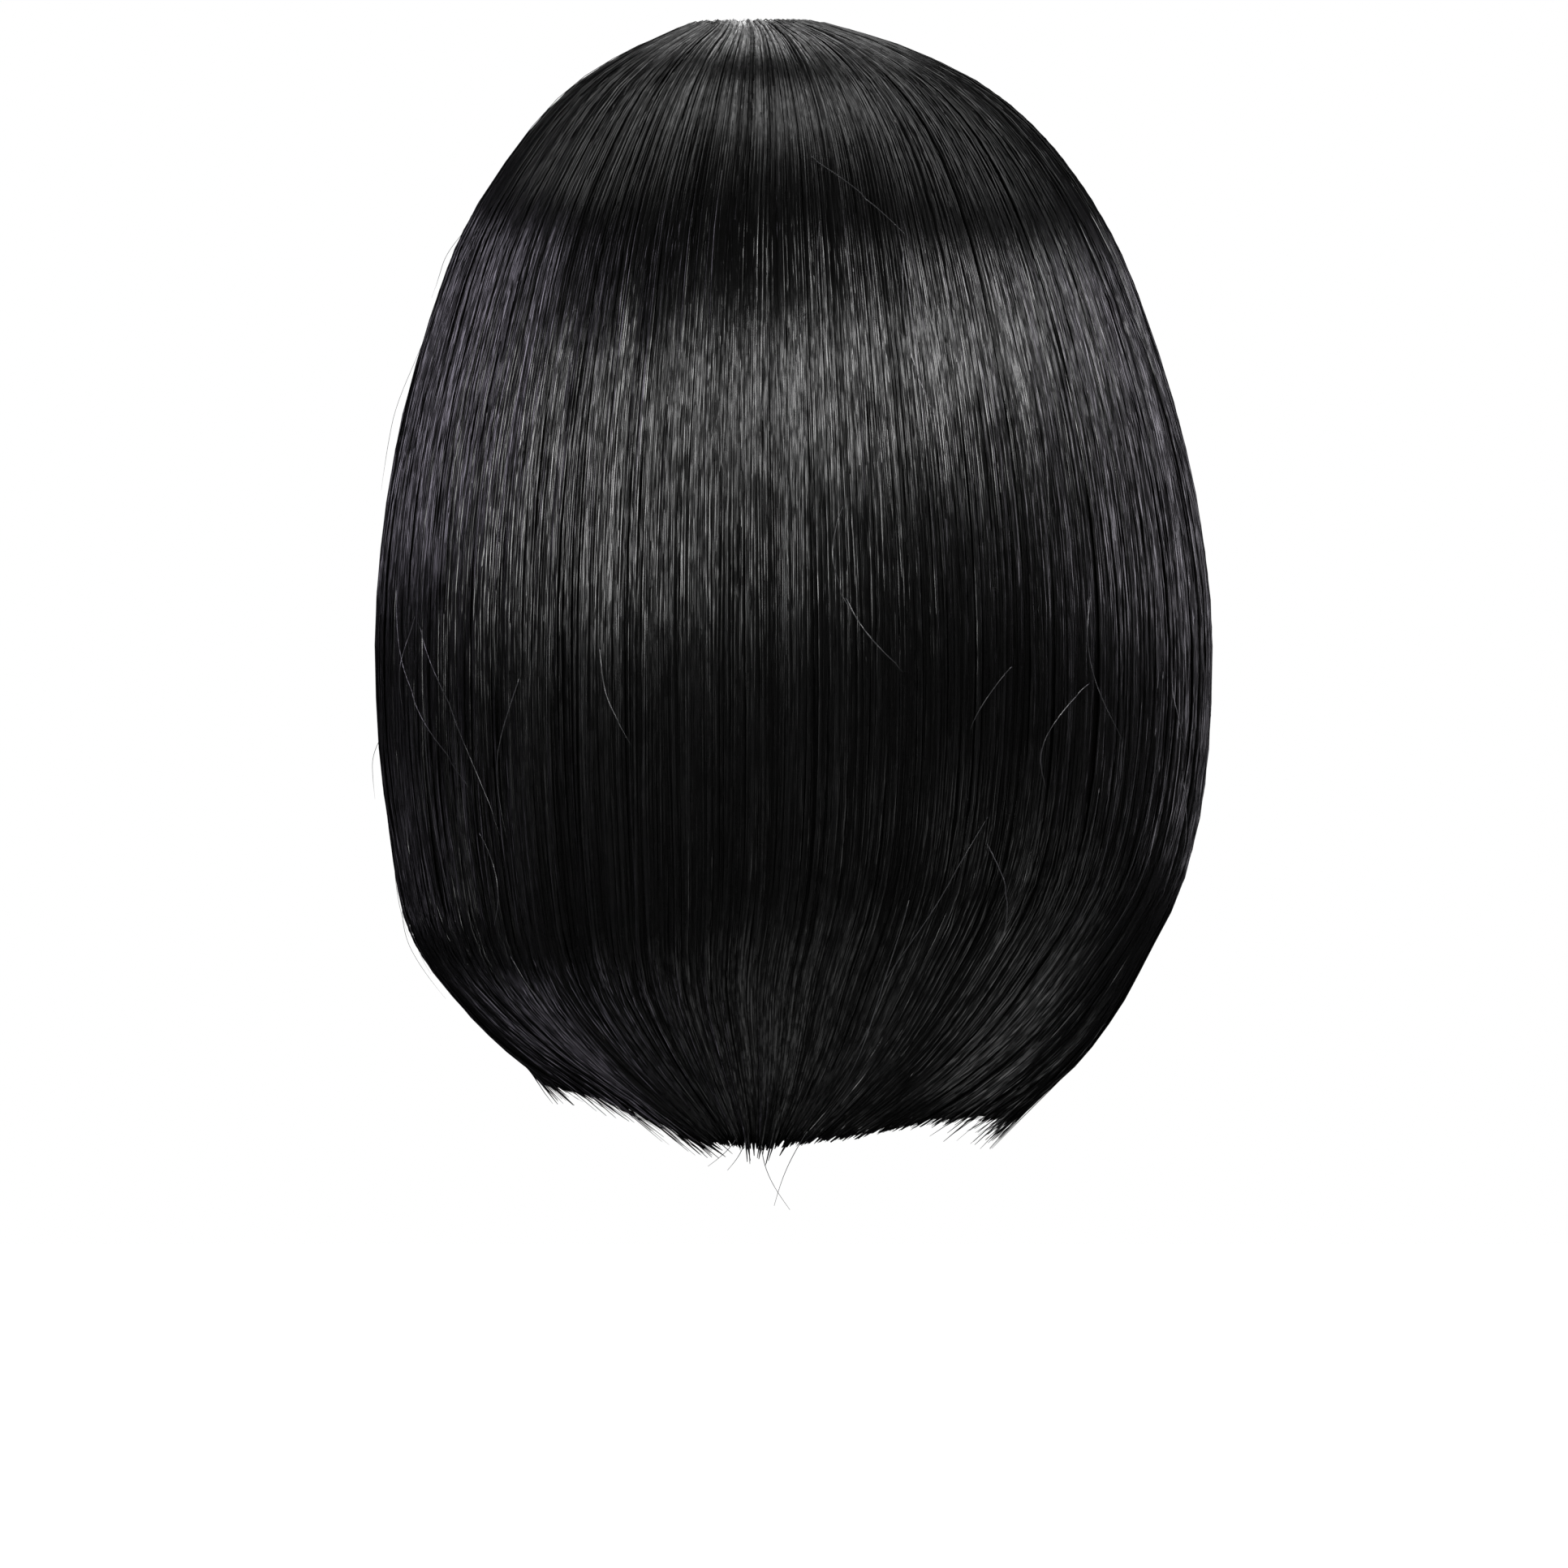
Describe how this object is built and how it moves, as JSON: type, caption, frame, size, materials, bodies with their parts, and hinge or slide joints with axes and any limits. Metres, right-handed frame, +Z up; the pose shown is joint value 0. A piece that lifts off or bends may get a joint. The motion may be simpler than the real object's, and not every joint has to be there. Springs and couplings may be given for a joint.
{
  "type": "bob wig",
  "caption": "Straight chin-length bob wig with a full fringe and a closed cap, kept in the shape that it has when worn.",
  "frame": {"origin": "inner top of the cap, where the crown of the head sits", "axes": "+Z up the standing head, the face opening towards -Y, the wearer's left +X"},
  "size_m": [0.2176, 0.226, 0.2915],
  "materials": {
    "hair": "sleek straight synthetic fibre, soft shine",
    "cap_net": "fine knitted net, matte",
    "edge_elastic": "woven elastic band, matte",
    "crown_net": "fine skin-toned net, matte"
  },
  "bodies": {
    "root": {"cap": "cap_net", "cap_band": "edge_elastic", "crown_patch": "crown_net", "under_nape_hair": "hair", "under_left_hair": "hair", "under_right_hair": "hair", "nape_hair": "hair", "left_back_hair": "hair", "right_back_hair": "hair", "left_side_hair": "hair", "right_side_hair": "hair", "fringe": "hair"}
  },
  "joints": []
}
